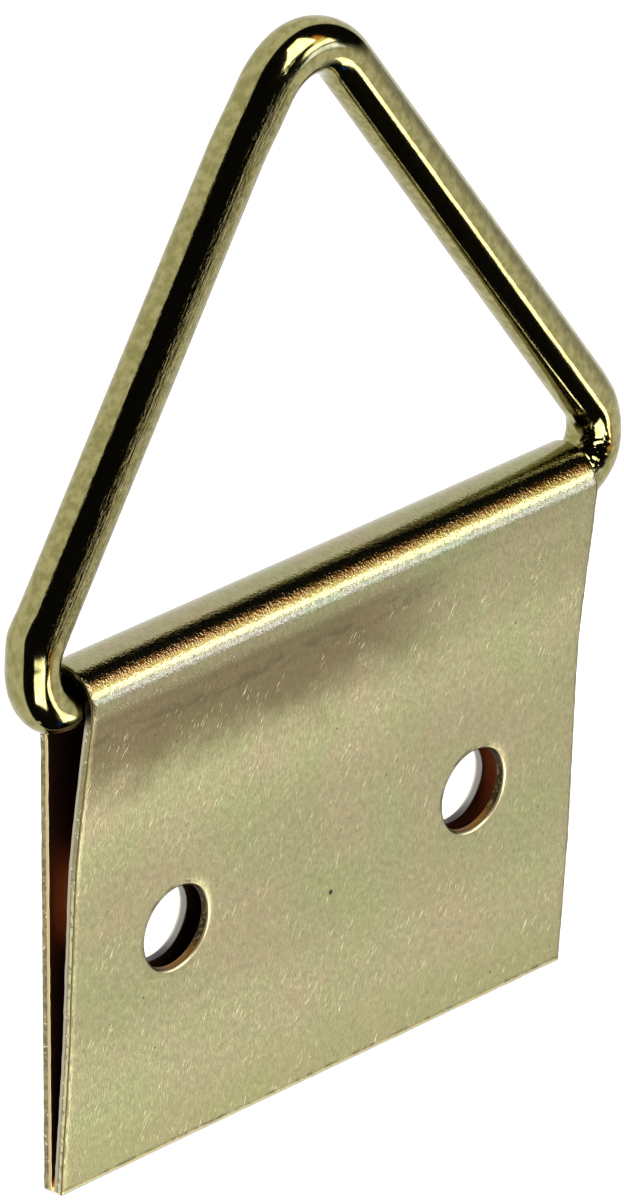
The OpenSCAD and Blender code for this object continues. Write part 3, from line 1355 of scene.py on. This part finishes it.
@dataclass(frozen=True)
class TriangleRing:
    """Wire bent to a triangle, with its cut ends facing each other inside the knuckle."""

    sizes: Sizes
    finish: PlatedWire = PlatedWire()
    ring_h: float = 25.9
    corner_inner_r: float = 0.85
    apex_inner_r: float = 1.85
    tilt: float = 2.5
    end_gap: float = 0.4
    bend_rise_share: float = 0.4
    bend_thinning: float = 0.02
    wire_sides: int = 96
    row: float = 0.3
    row_turn: float = 2.0
    wave_mm: float = 2.4
    wave_height: float = 0.004
    pushes: tuple[Push, ...] = (
        Push(middle=(-2.2, 23.6), reach=3.4, move=(0.15, -0.15)),
        Push(middle=(-18.4, 2.6), reach=2.6, move=(0.16, 0.0)),
        Push(middle=(-17.4, -0.9), reach=1.9, move=(-0.02, -0.15)),
        Push(middle=(-18.05, 3.9), reach=1.4, move=(-0.13, 0.08)),
        Push(middle=(18.4, 2.6), reach=2.6, move=(-0.15, 0.0)),
    )
    crumple_middle: tuple[float, float, float] = (16.2, -1.0, 1.4)
    crumple_reach: float = 1.05
    crumple_mm: float = 0.25
    crease_mm: float = 0.13
    crumple_height: float = 0.14

    def run(self, length: float) -> Stretch:
        """Make a straight run of wire."""
        return Stretch(rows=max(1, round(length / self.row)), length=length)

    def bend(self, inner_r: float, turn: float) -> Stretch:
        """Make a bend of wire."""
        return Stretch(rows=round(turn / self.row_turn), radius=inner_r + self.sizes.wire_d / 2, turn=turn)

    def stretches(self) -> list[Stretch]:
        """List the runs and bends from one cut end round to the other.

        Returns:
            Stretches in order.
        """
        sizes = self.sizes
        wire_r = sizes.wire_d / 2
        corner_r, apex_r = self.corner_inner_r + wire_r, self.apex_inner_r + wire_r
        rise = self.bend_rise_share * sizes.knuckle_clear
        corner_x = sizes.plate_w / 2 - math.sqrt(rise * (2 * corner_r - rise))
        to_apex = Vector((-corner_x, self.ring_h - wire_r - apex_r - corner_r))
        facing = math.atan2(to_apex.y, to_apex.x) - math.acos((corner_r - apex_r) / to_apex.length)
        leg = math.sqrt(to_apex.length_squared - (apex_r - corner_r) ** 2)
        half_bar = self.run(corner_x - self.end_gap / 2)
        corner = self.bend(self.corner_inner_r, 90 + math.degrees(facing))
        apex = self.bend(self.apex_inner_r, 180 - 2 * math.degrees(facing))
        return [half_bar, corner, self.run(leg), apex, self.run(leg), corner, half_bar]

    def wear(self, bm: bmesh.types.BMesh) -> None:
        """Push the bends off their true shape, and leave the wire slightly uneven outside the knuckle.

        Args:
            bm: Bent wire, not yet tilted.
        """
        bm.normal_update()
        crumple_middle = Vector(self.crumple_middle)
        for vert in bm.verts:
            clear = max(abs(vert.co.x) - self.sizes.plate_w / 2, vert.co.z - self.sizes.wire_d)
            outside = min(1.0, max(0.0, clear))
            wave = outside * self.wave_height * (swell(vert.co, self.wave_mm, Seed.WIRE_WAVE) - 1) / 2
            dent = -abs(swell(vert.co, self.crumple_mm, Seed.CRUMPLE))
            dent -= abs(swell(vert.co, self.crease_mm, Seed.CREASES)) / 2
            crumple = self.crumple_height * near(vert.co, crumple_middle, self.crumple_reach) * dent
            move = vert.normal * (wave + crumple)
            for push in self.pushes:
                share = near(vert.co.xz, Vector(push.middle), push.reach)
                move.xz += share * Vector(push.move)
            vert.co += move

    def build(self) -> bpy.types.Object:
        """Build and dress the ring.

        Returns:
            The ring.
        """
        bm = bmesh.new()
        stock = bm.verts.layers.float_vector.new(STOCK)
        stretches = self.stretches()
        ends = list(accumulate(stretch.travel for stretch in stretches))
        start = RIGHT * self.end_gap / 2
        facing_along = Matrix.Translation(start) @ Matrix.Rotation(math.pi / 2, 4, "Y")
        section_r = (self.sizes.wire_d - self.bend_thinning) / 2
        section = bmesh.ops.create_circle(
            bm, segments=self.wire_sides, radius=section_r, matrix=facing_along
        )["verts"]
        for vert in section:
            vert[stock] = (vert.co.y, vert.co.z, 0.0)
        first = list(bm.edges)
        last = sweep(bm, section + first, start, RIGHT, FRONT, stretches)
        for end in (first, [edge for edge in last if isinstance(edge, bmesh.types.BMEdge)]):
            bmesh.ops.edgeloop_fill(bm, edges=end)
        bmesh.ops.recalc_face_normals(bm, faces=bm.faces)
        self.wear(bm)
        tilted = Matrix.Rotation(math.radians(-self.tilt), 3, "X")
        bmesh.ops.rotate(bm, verts=bm.verts, cent=(0, 0, 0), matrix=tilted)
        _, right_from, _, left_from, left_to, *_ = ends
        material = self.finish.material(right_from, left_from, left_to)
        piece = finish_mesh(bm, "wire_ring", self.sizes.bar, [material])
        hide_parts("triangle_ring")
        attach(piece, "ring")
        return piece


@dataclass(frozen=True)
class Panel:
    """Soft panel far off in the studio, in degrees: azimuth to the right of the front, and elevation.

    Attributes:
        at: Azimuth and elevation of its middle.
        half: Halves of its width and of its height.
        softness: Width of its faded border.
        brightness: Light that it gives, where the white backdrop gives 1.
        roll: Turn of its width up from level.
        tint: Colour of its light.
    """

    at: tuple[float, float]
    half: tuple[float, float]
    softness: float
    brightness: float
    roll: float = 0.0
    tint: str = "#FFFFFF"


@dataclass(frozen=True)
class Studio:
    """White sweep behind and under the hanger, dark on the camera's side with a few soft panels.

    Angles are in degrees and lengths in millimetres.
    """

    sizes: Sizes
    view_azimuth: float = -46.33
    view_elevation: float = 25.13
    view_distance: float = 622.7
    lens: float = 440.3
    aim_right: float = -0.33
    aim_down: float = 0.47
    dark_azimuth: float = 5.0
    dark_edge: Span = (-0.07, -0.01)
    dark_level: float = 0.006
    view_reach: float = 6000.0
    floor_half: float = 1500.0
    floor_colour: str = "#E4E4E4"
    floor_roughness: float = 0.9
    backdrop: str = "#FFFFFF"
    floor_glow: float = 0.7
    panels: tuple[Panel, ...] = (
        Panel(at=(22, 47), half=(20, 19), softness=3, brightness=5.0),
        Panel(at=(40, 12.5), half=(12, 5.6), softness=4, brightness=5.0),
        Panel(at=(43, 18), half=(7, 8), softness=5, brightness=2.2, tint="#FFEC9C"),
        Panel(at=(43, 28), half=(7, 12), softness=10, brightness=1.5, tint="#FFA63C"),
        Panel(at=(42, -3), half=(8, 6), softness=6, brightness=3.9, tint="#CFD8FF"),
        Panel(at=(25, -32), half=(19, 5.2), softness=2, brightness=5.0, roll=-37.6),
        Panel(at=(39, -42), half=(8, 8), softness=3, brightness=5.0, roll=-37.6),
        Panel(at=(30, -25), half=(17, 5), softness=4, brightness=1.0, roll=-37.6, tint="#FFC04E"),
        Panel(at=(37, -58), half=(8, 6), softness=8, brightness=0.25, tint="#386EFF"),
        Panel(at=(-25, -29), half=(20, 16), softness=4, brightness=5.0),
        Panel(at=(-72, -79.5), half=(18, 2.5), softness=2, brightness=1.2),
        Panel(at=(80, -27), half=(52, 19), softness=20, brightness=1.0),
    )

    def towards(self, azimuth: float, elevation: float) -> Vector:
        """Turn an azimuth and an elevation into a direction.

        Args:
            azimuth: Degrees to the right of the front.
            elevation: Degrees above level.

        Returns:
            Unit vector.
        """
        turned, raised = math.radians(azimuth), math.radians(elevation)
        level = math.cos(raised)
        return Vector((math.sin(turned) * level, -math.cos(turned) * level, math.sin(raised)))

    def light(self) -> None:
        """Build the world: white to the camera, and the studio to everything else."""
        world = bpy.data.worlds.new("studio")
        bpy.context.scene.world = world
        world.use_nodes = True
        tree = world.node_tree
        ray = add_node(tree, "TexCoord", {}, {})
        x, y, z = add_node(tree, "SeparateXYZ", {}, {"Vector": ray}).node.outputs
        frontal = add_node(tree, "Math", TIMES, {0: y, 1: -1.0})
        azimuth = add_node(tree, "Math", {"operation": "ARCTAN2"}, {0: x, 1: frontal})
        elevation = add_node(tree, "Math", {"operation": "ARCSINE"}, {0: z})
        angles = add_node(tree, "CombineXYZ", {}, {"X": azimuth, "Y": elevation})
        to_dark = self.towards(self.dark_azimuth, 0.0)
        facing = add_node(tree, "VectorMath", {"operation": "DOT_PRODUCT"}, {0: ray, 1: to_dark}, MATH_NUMBER)
        light = Step(facing, self.dark_edge, (1.0, self.dark_level)).draw(tree)
        for panel in self.panels:
            middle = (*map(math.radians, panel.at), 0.0)
            off = add_node(tree, "VectorMath", MINUS, {0: angles, 1: middle})
            roll = -math.radians(panel.roll)
            level = add_node(
                tree, "VectorRotate", {"rotation_type": "Z_AXIS"}, {"Vector": off, "Angle": roll}
            )
            away = add_node(tree, "VectorMath", SIZE_OF, {0: level})
            halves = Vector((*map(math.radians, panel.half), 1.0))
            border = Vector((1.0, 1.0, 1.0)) * math.radians(panel.softness) / 2
            inside = add_node(
                tree, "MapRange", {"data_type": "FLOAT_VECTOR", **SMOOTH},
                {
                    RANGE_VECTOR: away, RANGE_FROM_MIN: halves + border, RANGE_FROM_MAX: halves - border,
                    RANGE_TO_MIN: (0.0, 0.0, 0.0), RANGE_TO_MAX: (1.0, 1.0, 1.0),
                },
                RANGE_RESULT,
            )
            wide, high, _ = add_node(tree, "SeparateXYZ", {}, {"Vector": inside}).node.outputs
            share = add_node(tree, "Math", TIMES, {0: wide, 1: high})
            shine = Vector(linear(panel.tint)[:3]) * panel.brightness
            shone = add_node(tree, "VectorMath", {"operation": "SCALE"}, {0: shine, "Scale": share})
            light = add_node(tree, "VectorMath", LARGER, {0: light, 1: shone})
        studio = add_node(tree, "Background", {}, {"Color": light, "Strength": 1.0})
        backdrop = add_node(tree, "Background", {}, {"Color": linear(self.backdrop), "Strength": 1.0})
        seen = add_node(tree, "LightPath", {}, {})
        mix = add_node(tree, "MixShader", {}, {"Fac": seen, 1: studio, 2: backdrop})
        fill(tree, tree.nodes["World Output"], {"Surface": mix})

    def lay_floor(self) -> bpy.types.Object:
        """Lay the pale floor under the plate, white to the camera but for the hanger's shadow.

        Returns:
            The floor.
        """
        bm = bmesh.new()
        bmesh.ops.create_grid(bm, x_segments=1, y_segments=1, size=self.floor_half)
        bmesh.ops.translate(bm, verts=bm.verts, vec=-UP * self.sizes.plate_drop)
        material = bpy.data.materials.new("white_paper_sweep")
        material.use_nodes = True
        tree = material.node_tree
        glow = add_node(tree, "Math", TIMES, {0: add_node(tree, "LightPath", {}, {}), 1: self.floor_glow})
        fill(
            tree, tree.nodes["Principled BSDF"],
            {
                "Base Color": linear(self.floor_colour), "Roughness": self.floor_roughness,
                "Specular IOR Level": 0.0, "Emission Color": linear(self.backdrop), "Emission Strength": glow,
            },
        )
        floor = finish_mesh(bm, "floor", self.sizes.bar, [material])
        floor.visible_glossy = False
        floor.visible_shadow = False
        return floor

    def place_camera(self) -> bpy.types.Object:
        """Set up the camera at the photograph's viewing angle.

        Returns:
            The camera.
        """
        backwards = self.towards(self.view_azimuth, self.view_elevation)
        turn = (-backwards).to_track_quat("-Z", "Y")
        aim = turn @ Vector((self.aim_right, -self.aim_down, self.view_distance))
        data = bpy.data.cameras.new("view")
        data.lens = self.lens
        data.clip_end = self.view_reach * MM
        camera = bpy.data.objects.new("view", data)
        camera.rotation_euler = turn.to_euler()
        camera.location = self.sizes.bar + aim * MM
        bpy.context.scene.collection.objects.link(camera)
        bpy.context.scene.camera = camera
        return camera


def main() -> None:
    """Build the hanger and its studio."""
    logging.basicConfig(level=logging.INFO, format="%(message)s")
    bpy.context.scene.view_settings.view_transform = "Standard"
    sizes = Sizes.of_frame()
    studio = Studio(sizes)
    studio.place_camera()
    for part in (HangerPlate(sizes), TriangleRing(sizes)):
        piece = part.build()
        log.info("%s: %d faces", piece.name, len(piece.data.polygons))
    studio.light()
    log.info("%s laid", studio.lay_floor().name)


if __name__ == "__main__":
    main()
